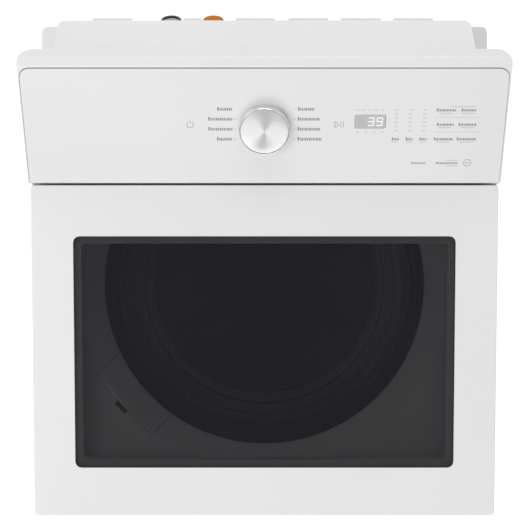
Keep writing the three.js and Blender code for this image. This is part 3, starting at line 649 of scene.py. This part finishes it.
def make_basket():
    points = [
        (0.2818, 0.846, 0), (0.2818, 0.823, 0), (0.2818, 0.81, 0), (0.2818, 0.34, 0),
        (0.2818, 0.327, 0), (0.2818, 0.305, 0.006), (0.2758, 0.299, 0), (0.262, 0.299, 0.002),
        (0.258, 0.303, 0.002), (0.240, 0.303, 0.002), (0.236, 0.299, 0.002), (0.026, 0.299, 0.0006),
        (0.026, 0.296, 0.0006), (0.276, 0.296, 0.003), (BASKET_R, 0.304, 0.004), (BASKET_R, 0.327, 0),
        (BASKET_R, 0.34, 0), (BASKET_R, 0.81, 0), (BASKET_R, 0.823, 0), (BASKET_R, 0.846, 0),
    ]
    bm = bmesh.new()
    lathe_in(bm, rounded_profile(points), 192)
    for vert in bm.verts:
        basket_rib(vert)
    wall = perforated_steel()
    basket = piece("wash_basket_round", mesh_of("wash_basket", bm), "basket", "stainless",
                   ["wash_basket"], wall, place=Matrix.Translation((0, TUB_Y, 0)))
    basket.data.materials.append(basket_floor_steel())
    for face in basket.data.polygons:
        face.material_index = 1 if abs(face.normal.z) > 0.7 else 0


def make_balance_ring():
    points = [
        (0.279, 0.8464, 0), (BASKET_R, 0.8504, 0.001), (BASKET_R, 0.868, 0.003), (0.275, 0.876, 0.002),
        (0.266, 0.876, 0.0008), (0.265, 0.8735, 0.0008), (0.2615, 0.8735, 0.0008),
        (0.2605, 0.876, 0.0008), (0.2495, 0.876, 0.0008), (0.2485, 0.874, 0.0008),
        (0.246, 0.874, 0.0008), (0.245, 0.876, 0.0008), (0.238, 0.876, 0.003), (0.232, 0.873, 0.003),
        (0.230, 0.867, 0.002), (0.230, 0.858, 0.003), (0.235, 0.8484, 0.002), (0.242, 0.8464, 0),
    ]
    turned("balance_ring_round", points, "basket", "dark_plastic", ["balance_ring"], 128,
           (0, TUB_Y, 0))


def impeller_plastic():
    finish = Finish("impeller_plastic", 0.32)
    finish.colour(finish.noise(9, 5), (grey(0.26), grey(0.34)))
    finish.roughness(finish.noise(70, 3), 0.26, 0.36)
    return finish.bump(finish.noise(1200, 3), 0.12, 0.0001).material


def impeller_height(radius, turn):
    """Height of the impeller's top above its foot level."""
    rise = 0.020 * math.exp(-((radius / 0.055) ** 2))
    dish = 0.318 + 0.008 * (radius / IMPELLER_R) ** 3 + rise * 1.3
    nearest = (turn * VANES / FULL_TURN + 0.5 - VANES / 4) % 1 - 0.5
    aside = nearest * FULL_TURN / VANES * radius
    along = max(0.0, math.sin(math.pi * min(1.0, max(0.0, (radius - 0.030) / 0.172))))
    vane = VANE_HEIGHT * math.exp(-((aside / VANE_HALF) ** 2)) * along ** 0.5
    ripple = 0.0015 * math.cos(nearest * FULL_TURN * 3) * along
    return dish + vane + ripple


def make_impeller():
    rings = [(r / 24) * 0.211 for r in range(1, 25)]
    bm = bmesh.new()
    top = bm.verts.new((0, 0, impeller_height(0, 0)))
    rows = []
    for radius in rings:
        rows.append([bm.verts.new((radius * math.cos(a), radius * math.sin(a),
                                   impeller_height(radius, a))) for a in around(192)])
    for radius, height in ((0.2135, 0.331), (IMPELLER_R, 0.327), (0.208, 0.318), (0.150, 0.312),
                           (0.030, 0.308), (0.024, 0.302)):
        rows.append([bm.verts.new((radius * math.cos(a), radius * math.sin(a), height))
                     for a in around(192)])
    for low, high in zip(rows, rows[1:]):
        for i in range(192):
            j = (i + 1) % 192
            bm.faces.new((low[i], low[j], high[j], high[i]))
    for i in range(192):
        bm.faces.new((rows[0][i], rows[0][(i + 1) % 192], top))
    bm.faces.new(rows[-1])
    piece("impeller_round", mesh_of("impeller", bm), "drive", "grey_plastic", ["impeller"],
          impeller_plastic(), 50, Matrix.Translation((0, TUB_Y, 0)))
    turned("impeller_cap", [(0, 0.3440, 0), (0.020, 0.3440, 0), (0.024, 0.3475, 0.002),
                            (0.020, 0.3495, 0.002), (0, 0.3502, 0)],
           "drive", "grey_plastic", segments=64, centre=(0, TUB_Y, 0))


def screw_in(bm, centre, radius=0.0045, height=0.0025):
    """Adds a plain tapered screw head, standing on centre along +Z."""
    middle = Matrix.Translation(Vector(centre) + Vector((0, 0, height / 2)))
    bmesh.ops.create_cone(bm, cap_ends=True, segments=20, radius1=radius,
                          radius2=radius * 0.72, depth=height, matrix=middle)


def make_tub():
    refined("outer_tub", 0.002, 2)
    relathed("tub_cover", 0.0012, 128)
    bm = bmesh.new()
    for turn in around(16, 0.1):
        screw_in(bm, (COVER_SCREWS_R * math.cos(turn), COVER_SCREWS_R * math.sin(turn), COVER_SCREWS_Z))
    piece("tub_cover_screws", mesh_of("tub_cover_screws", bm), "tub", "zinc",
          place=Matrix.Translation((0, TUB_Y, 0)))
    bm = bmesh.new()
    for turn in around(24, 0.13):
        if abs(math.sin(2 * turn)) > 0.96:
            continue
        arm = Matrix.Rotation(turn, 4, "Z") @ Matrix.Translation((0.3015, 0, 0.42))
        bmesh.ops.create_cube(bm, size=1, matrix=arm @ Matrix.Diagonal((0.005, 0.003, 0.34, 1)))
    piece("outer_tub_ribs", mesh_of("outer_tub_ribs", bm), "tub", "grey_plastic",
          place=Matrix.Translation((0, TUB_Y, 0)))
    make_basket()
    make_balance_ring()
    make_impeller()
    for node in ("bearing_housing", "upper_bearing", "lower_bearing", "spin_shaft", "wash_shaft",
                 "rotor", "clutch_coupler"):
        relathed(node)
    refined("stator", 0.0008, 2)


# ---- suspension, feet and drain ----
SPRING_LOW = 0.2194
SPRING_HIGH = 0.3006
SPRING_TURNS = 10
SPRING_WIRE_R = 0.0019


def corners(front_y, rear_y, half_x):
    """(name, x, y) of the four corners."""
    return [(f"{end}_{side}", x, y)
            for end, y in (("front", front_y), ("rear", rear_y))
            for side, x in (("left", -half_x), ("right", half_x))]


def make_spring(name, x, y):
    steps = SPRING_TURNS * 20
    low, high = SPRING_LOW + SPRING_WIRE_R, SPRING_HIGH - SPRING_WIRE_R
    points = []
    for i in range(steps + 1):
        share = i / steps
        eased = share * share * (3 - 2 * share)
        turn = FULL_TURN * SPRING_TURNS * share
        height = low + (high - low) * (0.7 * share + 0.3 * eased)
        points.append(Vector((x + 0.0095 * math.cos(turn), y + 0.0095 * math.sin(turn), height)))
    bm = bmesh.new()
    tube_along(bm, points, SPRING_WIRE_R)
    spring = piece(f"spring_{name}_coil", mesh_of("spring", bm), None, "zinc",
                   [f"suspension_spring_{name}"])
    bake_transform(spring)


def make_suspension():
    for name, x, y in corners(TUB_Y - 0.244, TUB_Y + 0.244, 0.244):
        relathed(f"suspension_rod_{name}", 0.0006, 32, (x, y))
        make_spring(name, x, y)


def make_foot(name, x, y):
    stud = [(0.006, 0.025, 0)]
    pitch = 0.0018
    for i in range(30):
        height = 0.0265 + i * pitch
        stud += [(0.006, height, 0), (0.0052, height + pitch / 2, 0)]
    points = [(0, 0, 0), (0.0225, 0, 0.001), (0.026, 0.0035, 0.002), (0.026, 0.0115, 0.002),
              (0.012, 0.017, 0.003), (0.011, 0.0172, 0), *stud, (0.0045, 0.082, 0), (0, 0.082, 0)]
    bm = bmesh.new()
    lathe_in(bm, rounded_profile(points), 36, closed=False)
    hexagon_in(bm, 0.0118, 0.0168, 0.0248)
    place = Matrix.Translation((x, y, 0))
    foot = piece(f"levelling_foot_{name}_round", mesh_of("foot", bm), f"foot_{name}", "rubber",
                 [f"levelling_foot_{name}"], place=place)
    foot.data.materials.append(MATERIALS["zinc"])
    for face in foot.data.polygons:
        face.material_index = 1 if face.center.z > 0.0166 else 0


PUMP_X = -0.130
PUMP_Y = 0.0965
HOSE_LOW = 0.1324
HOSE_HIGH = 0.2046
HOSE_RINGS = 16
HOSE_BORE = 0.015
HOSE_VALLEY = 0.0165
HOSE_RIDGE = 0.0186


def make_drain():
    refined("drain_pump_body", 0.001, 2)
    refined("pump_impeller", 0.0006, 2)
    refined("drain_outlet_pipe", 0.0006, 2)
    points = []
    pitch = (HOSE_HIGH - HOSE_LOW) / HOSE_RINGS
    for i in range(HOSE_RINGS):
        base = HOSE_LOW + i * pitch
        points += [(HOSE_VALLEY, base + 0.0001), (HOSE_RIDGE, base + pitch * 0.3),
                   (HOSE_RIDGE, base + pitch * 0.7)]
    points += [(HOSE_VALLEY, HOSE_HIGH), (HOSE_BORE, HOSE_HIGH), (HOSE_BORE, HOSE_LOW)]
    bm = bmesh.new()
    lathe_in(bm, points, 40)
    hose = piece("drain_hose_ribbed", mesh_of("drain_hose", bm), None, "rubber", ["drain_hose"],
                 place=Matrix.Translation((PUMP_X, PUMP_Y, 0)))
    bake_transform(hose)


# ---- console face: dial, print and display ----
PRINT_THICK = 0.00012
LETTER_WIDTHS = (1.9, 1.3, 1.6, 0.9, 2.0, 1.4)
LABEL_ROWS = (116.1, 100.8, 85.3, 69.7)
SEGMENTS = {
    "3": "abgcd",
    "9": "abcdfg",
}


def plate(bm, x, v, width, height):
    """Thin printed bar from x rightwards, centred on v; in mm on the face."""
    box_in(bm, (x * MM, (v - height / 2) * MM, 0),
           ((x + width) * MM, (v + height / 2) * MM, PRINT_THICK))


def label(bm, x, v, length, height=4.0):
    """Row of plain strokes that stands for printed words."""
    at = 0.0
    count = 0
    while at < length - 0.8:
        wide = min(LETTER_WIDTHS[count % len(LETTER_WIDTHS)] * height / 3.6, length - at)
        tall = height * (1.35 if count == 0 else 1.0)
        plate(bm, x + at, v + (tall - height) / 2, wide, tall)
        at += wide + 0.26 * height
        count += 1


def arc(bm, x, v, radius, start, end, thick=0.7, steps=28):
    """Thin printed arc between two angles in degrees."""
    rows = []
    for i in range(steps + 1):
        turn = math.radians(start + (end - start) * i / steps)
        rows.append([
            bm.verts.new(((x + r * math.cos(turn)) * MM, (v + r * math.sin(turn)) * MM, z))
            for r in (radius - thick / 2, radius + thick / 2) for z in (0, PRINT_THICK)
        ])
    for low, high in zip(rows, rows[1:]):
        for i, j in ((0, 1), (1, 3), (3, 2), (2, 0)):
            bm.faces.new((low[i], low[j], high[j], high[i]))
    for row in (rows[0], rows[-1]):
        bm.faces.new((row[0], row[1], row[3], row[2]))


def stroke(bm, start, end, thick=0.7):
    """Thin printed line between two points in mm."""
    a, b = Vector(start) * MM, Vector(end) * MM
    along = b - a
    turn = math.atan2(along.y, along.x)
    middle = (a + b) / 2
    matrix = (Matrix.Translation((middle.x, middle.y, PRINT_THICK / 2))
              @ Matrix.Rotation(turn, 4, "Z")
              @ Matrix.Diagonal((along.length, thick * MM, PRINT_THICK, 1)))
    bmesh.ops.create_cube(bm, size=1, matrix=matrix)


def printed(name, bm, material):
    return piece(name, mesh_of(name, bm), "cabinet", "grey_plastic", material=material,
                 place=face_place(lift=0.00004))


def dark_print():
    bm = bmesh.new()
    for v, length in zip(LABEL_ROWS, (21, 34, 34, 22)):
        label(bm, -45.5 - length, v, length)
    for v, length in zip(LABEL_ROWS, (23, 31, 32, 34)):
        label(bm, 47.2, v, length)
    for v in LABEL_ROWS[1:]:
        plate(bm, -42.6, v, 1.8, 0.8)
    for v in LABEL_ROWS:
        plate(bm, 41.6, v, 1.8, 0.8)
    for x, v, length in ((242.5, 114.5, 27), (277.6, 114.5, 21), (244, 92.3, 24), (275.1, 92.3, 25.5),
                         (241.3, 69.7, 28), (274, 69.7, 28.5)):
        label(bm, x, v, length, 3.4)
    for x in (184.3, 204.0, 223.8):
        label(bm, x - 3, 69.7, 10, 3.4)
    label(bm, 246.7, 31.8, 31, 2.4)
    return printed("dark_print", bm, INK)


def icons():
    bm = bmesh.new()
    arc(bm, -105.2, 92.6, 5.0, 125, 415)
    plate(bm, -105.6, 96.6, 0.8, 4.4)
    for start, end in (((99.6, 97.2), (99.6, 88.0)), ((99.6, 97.2), (106.0, 92.6)),
                       ((99.6, 88.0), (106.0, 92.6)), ((108.2, 97.2), (108.2, 88.0)),
                       ((111.6, 97.2), (111.6, 88.0))):
        stroke(bm, start, end)
    arc(bm, 291.6, 32.4, 5.2, 0, 360)
    plate(bm, 288.6, 32.4, 6.0, 0.9)
    label(bm, 210.7, 31.8, 22, 2.4)
    return printed("icons", bm, MID_INK)


def faint_print():
    bm = bmesh.new()
    for x in (130, 137, 146, 155, 164):
        label(bm, x, 114.8, 5, 1.2)
    for x in (130.5, 142.5, 154.5, 166.0):
        plate(bm, x, 80.7, 3.0, 1.4)
    for x in (184.3, 204.0, 223.8):
        for v in (115.5, 109, 102.5, 96, 89.5, 83):
            label(bm, x, v, 5.6, 1.2)
        label(bm, x - 2, 65.6, 9, 1.1)
    for x, v, length in ((246, 109.8, 20), (279, 109.8, 18), (247, 87.8, 18), (278, 87.8, 20),
                         (245, 65.4, 20), (277, 65.4, 22), (262, 120.4, 36)):
        label(bm, x, v, length, 1.1)
    for v in (104.0, 81.0):
        plate(bm, 241, v, 63, 0.35)
    label(bm, 262, 36.2, 16, 1.1)
    label(bm, 262, 27.4, 16, 1.1)
    return printed("faint_print", bm, FAINT_INK)


def digit(bm, figure, x, v, width=7.6, height=11.5, thick=1.5):
    """One seven-segment figure with its lower left corner at x, v."""
    half = height / 2
    lean = 0.9
    ends = {
        "a": ((lean, height), (width + lean, height)), "g": ((lean / 2, half), (width + lean / 2, half)),
        "d": ((0, 0), (width, 0)), "f": ((lean / 2, half), (lean, height)),
        "b": ((width + lean / 2, half), (width + lean, height)),
        "e": ((0, 0), (lean / 2, half)), "c": ((width, 0), (width + lean / 2, half)),
    }
    for name in SEGMENTS[figure]:
        (x0, v0), (x1, v1) = ends[name]
        stroke(bm, (x + x0, v + v0), (x + x1, v + v1), thick)


def make_display():
    bm = bmesh.new()
    digit(bm, "3", 146.5, 91.3)
    digit(bm, "9", 158.6, 91.3)
    printed("display_digits", bm, DIGITS)
    bm = bmesh.new()
    for v in (101.5, 97.0, 92.5):
        label(bm, 131.5, v, 11, 1.7)
    printed("display_marks", bm, FAINT_INK)


def make_fascia_gap_shade():
    """Dark strip of painted shade in the gap round the top of the fascia: a dark tube that stands for the shadow
    under the cap's lip.
    """
    half, top, bend = 0.3409, 0.1781, 0.0135
    path = [Vector((-half, 0.150, 0)), Vector((-half, top - bend, 0))]
    for side in (-1, 1):
        for i in range(9):
            share = i / 8 if side < 0 else 1 - i / 8
            turn = math.pi - share * math.pi / 2
            path.append(Vector((side * (half - bend + bend * -math.cos(turn)),
                                top - bend + bend * math.sin(turn), 0)))
    path += [Vector((half, top - bend, 0)), Vector((half, 0.150, 0))]
    bm = bmesh.new()
    tube_along(bm, path, 0.00055, 6)
    # painted shade: a dark plastic tube where the gap under the cap's lip is only in shadow
    piece("fascia_seal", mesh_of("fascia_seal", bm), "cabinet", "dark_plastic",
          place=face_place(lift=-0.0009))


def make_dial():
    place = face_place(DIAL_V)
    rim = DIAL_HEIGHT
    knob = [(0, -0.015, 0), (0.0046, -0.015, 0.0004), (0.0046, 0.0005, 0), (DIAL_R - 0.0006, 0.0005, 0.0003),
            (DIAL_R, 0.0012, 0.0004), (DIAL_R, 0.0030, 0.0008),
            (DIAL_R - 0.0004, rim - 0.0016, 0.0010), (DIAL_R - 0.0012, rim, 0.0008),
            (DIAL_FACE_R + 0.0008, rim, 0.0005), (DIAL_FACE_R + 0.0004, rim - 0.0014, 0),
            (0, rim - 0.0014, 0)]
    turned("dial_knob_round", knob, "dial", "chrome", ["dial_knob"], 160, place=place, steps=5)
    top = rim - 0.0001
    disc = [(0, rim - 0.001, 0), (DIAL_FACE_R, rim - 0.001, 0), (DIAL_FACE_R, top - 0.0003, 0.0002),
            (DIAL_FACE_R - 0.0004, top, 0.0002), (0.020, top + 0.0001, 0), (0, top + 0.0003, 0)]
    turned("dial_face_round", disc, "dial", "spun_metal", ["dial_face"], 160, place=place)


# ---- water inlets at the back ----
INLET_TILT = math.radians(35)
INLET_END = (0.3592, 1.040)


def inlet_place(x):
    return (Matrix.Translation((x, *INLET_END))
            @ Matrix.Rotation(INLET_TILT - math.pi / 2, 4, "X"))


def make_inlet(name, x, open_r, slot):
    place = inlet_place(x)
    if open_r:
        cap = [(open_r, -0.0025, 0.0004), (open_r, 0, 0.0006), (0.0145, 0, 0.0012),
               (0.0145, -0.014, 0.0008), (0.0128, -0.014, 0), (0.0128, -0.0025, 0)]
    else:
        cap = [(0, 0.0006, 0), (0.009, 0.0004, 0.001), (0.0145, 0, 0.0015), (0.0145, -0.014, 0.0008),
               (0.0128, -0.014, 0), (0.0128, -0.0025, 0), (0, -0.0025, 0)]
    bm = bmesh.new()
    lathe_in(bm, rounded_profile(cap), 64)
    for turn in around(28):
        grip = Matrix.Rotation(turn, 4, "Z") @ Matrix.Translation((0.0146, 0, -0.0072))
        bmesh.ops.create_cube(bm, size=1, matrix=grip @ Matrix.Diagonal((0.0011, 0.0014, 0.0110, 1)))
    piece(f"{name}_inlet_cap_round", mesh_of("inlet_cap", bm), "cabinet", slot, [f"{name}_inlet_cap"],
          place=place)
    threads = []
    for i in range(9):
        height = -0.0235 + i * 0.0024
        threads += [(0.0117, height, 0), (0.0124, height + 0.0008, 0), (0.0124, height + 0.0014, 0)]
    valve = [(0, -0.047, 0), (0.018, -0.047, 0.002), (0.018, -0.026, 0.001), (0.0117, -0.026, 0),
             *threads, (0.0117, -0.003, 0), (0.009, -0.003, 0), (0.009, -0.012, 0), (0, -0.012, 0)]
    turned(f"{name}_inlet_valve_round", valve, "cabinet", "white_plastic", [f"{name}_inlet_valve"], 48,
           place=place)


# ---- lid ----
LID_SLOPE = math.radians(5.07)
WINDOW = (-0.279, 0.279, -0.4034, -0.0612)
LEDGE = 0.011
GLASS_UNDER = 0.002


def lid_place():
    return Matrix.Translation(JOINTS["lid_hinge"]["pos_m"]) @ Matrix.Rotation(LID_SLOPE, 4, "X")


def rounded_loop(bm, bounds, radius, height, steps=6):
    """Corner points of a rounded rectangle, in order."""
    x0, x1, y0, y1 = bounds
    made = []
    for x, y, first in ((x1 - radius, y1 - radius, 0), (x0 + radius, y1 - radius, 1),
                        (x0 + radius, y0 + radius, 2), (x1 - radius, y0 + radius, 3)):
        for i in range(steps + 1):
            turn = (first + i / steps) * math.pi / 2
            made.append(bm.verts.new((x + radius * math.cos(turn), y + radius * math.sin(turn), height)))
    return made


def make_glass_seal():
    """Flat strip that beds the glass on its ledge."""
    x0, x1, y0, y1 = WINDOW
    inner = (x0 + LEDGE, x1 - LEDGE, y0 + LEDGE, y1 - LEDGE)
    outer = (x0 + MM, x1 - MM, y0 + MM, y1 - MM)
    low, high = GLASS_UNDER - 0.00035, GLASS_UNDER - 0.00008
    bm = bmesh.new()
    loops = [rounded_loop(bm, outer, 0.008, high), rounded_loop(bm, inner, 0.006, high),
             rounded_loop(bm, inner, 0.006, low), rounded_loop(bm, outer, 0.008, low)]
    for near, far in zip(loops, loops[1:] + loops[:1]):
        for i in range(len(near)):
            j = (i + 1) % len(near)
            bm.faces.new((near[i], near[j], far[j], far[i]))
    piece("glass_seal", mesh_of("glass_seal", bm), "lid", "white_plastic", place=lid_place())


# ---- small parts on the casing ----
REAR_FACE_Y = 0.3576
SIDE_SCREWS_X = 0.331
SIDE_SCREWS_Z = (0.075, 0.27, 0.465, 0.66, 0.855)
EDGE_SCREWS_X = (-0.2, 0, 0.2)
EDGE_SCREWS_Z = (0.056, 0.902)
REAR_SCREW = (0.0046, 0.0024)
VENT_ROWS = 6
VENT_PITCH = 0.018
VENT_LOW_Z = 0.70
VENT_COLUMNS = (-0.10, -0.05, 0, 0.05, 0.10)
VENT_HALF = (0.018, 0.003)
INLET_X = {"cold": -0.135, "hot": -0.074}
FOOT_X = 0.300
FOOT_Y = (-0.300, 0.315)


def make_rear_details():
    """Rear panel screws, dark strips of painted shade in place of the cooling slots' openings, and a blank rating
    plate.
    """
    place = Matrix.Translation((0, REAR_FACE_Y, 0)) @ Matrix.Rotation(-math.pi / 2, 4, "X")
    bm = bmesh.new()
    for x in (-SIDE_SCREWS_X, SIDE_SCREWS_X):
        for z in SIDE_SCREWS_Z:
            screw_in(bm, (x, -z, 0.0), *REAR_SCREW)
    for x in EDGE_SCREWS_X:
        for z in EDGE_SCREWS_Z:
            screw_in(bm, (x, -z, 0.0), *REAR_SCREW)
    piece("rear_screws", mesh_of("rear_screws", bm), "cabinet", "zinc", place=place)
    # painted shade: dark strips stand for the shade inside the cooling slots
    bm = bmesh.new()
    half_width, half_height = VENT_HALF
    for row in range(VENT_ROWS):
        for x in VENT_COLUMNS:
            z = VENT_LOW_Z + row * VENT_PITCH
            box_in(bm, (x - half_width, -z - half_height, 0), (x + half_width, -z + half_height, 0.0005))
    piece("rear_vents", mesh_of("rear_vents", bm), "cabinet", "dark_plastic", place=place)
    bm = bmesh.new()
    box_in(bm, (-0.06, -0.56, 0), (0.06, -0.49, 0.0004))
    piece("rating_plate", mesh_of("rating_plate", bm), "cabinet", "white_plastic", place=place)


def make_round_parts():
    make_glass_seal()
    make_fascia_gap_shade()
    make_dial()
    make_display()
    dark_print()
    icons()
    faint_print()
    make_inlet("cold", INLET_X["cold"], 0.010, "dark_plastic")
    make_inlet("hot", INLET_X["hot"], 0, "orange_plastic")
    refined("cord_gland", 0.0006, 2)
    make_tub()
    make_suspension()
    for name, x, y in corners(*FOOT_Y, FOOT_X):
        make_foot(name, x, y)
    make_drain()
    make_rear_details()


make_camera()
make_studio()
make_floor()
make_casing()
make_round_parts()

for node, obj in NODES.items():
    obj.data.materials.clear()
    obj.data.materials.append(MATERIALS[SLOT_OF[node]])
